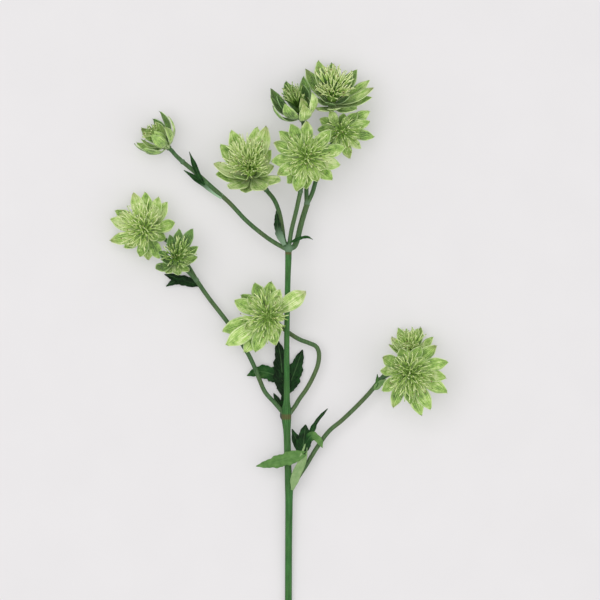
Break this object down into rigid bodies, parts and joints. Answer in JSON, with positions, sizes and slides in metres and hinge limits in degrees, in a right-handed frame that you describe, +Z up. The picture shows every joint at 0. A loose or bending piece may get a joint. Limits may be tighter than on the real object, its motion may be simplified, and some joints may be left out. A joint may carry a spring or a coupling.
{
  "type": "masterwort spray",
  "caption": "Cut masterwort spray lying down: a jointed green stem forks into wiry branches with starry heads of pointed green bracts round small floret domes, and lobed leaves at the joints.",
  "frame": {"origin": "on the surface that the spray lies on, under the middle of its bounding box", "axes": "+Y along the main stem from the cut foot to the heads, +X across the spray to the right as seen from above, +Z up from the surface"},
  "size_m": [0.1692, 0.2978, 0.038],
  "materials": {
    "stem": "smooth green stem skin with fine lengthwise ridges",
    "branch": "thin grey-green stalks, faintly ridged, satin",
    "leaf": "dark green veined leaf blade, satin",
    "bract": "papery yellow-green bract with fine lengthwise veins",
    "floret": "matte cream-green florets and filaments with mauve tips"
  },
  "bodies": {
    "root": {"main_stem": "stem", "branch_right": "branch", "branch_left": "branch", "branch_middle": "branch", "branch_top": "branch", "head_far_left_bracts": "bract", "head_far_left_florets": "floret", "head_left_large_bracts": "bract", "head_left_large_florets": "floret", "head_left_small_bracts": "bract", "head_left_small_florets": "floret", "head_top_left_bracts": "bract", "head_top_left_florets": "floret", "head_top_centre_bracts": "bract", "head_top_centre_florets": "floret", "head_back_left_bracts": "bract", "head_back_left_florets": "floret", "head_back_right_bracts": "bract", "head_back_right_florets": "floret", "head_right_top_bracts": "bract", "head_right_top_florets": "floret", "head_middle_bracts": "bract", "head_middle_florets": "floret", "head_right_large_bracts": "bract", "head_right_large_florets": "floret", "head_right_small_bracts": "bract", "head_right_small_florets": "floret", "leaf_low": "leaf", "leaf_middle": "leaf", "leaf_left": "leaf", "leaf_sheath": "leaf", "leaf_top_left": "leaf", "leaf_top_right": "leaf", "leaf_right": "leaf"}
  },
  "joints": []
}
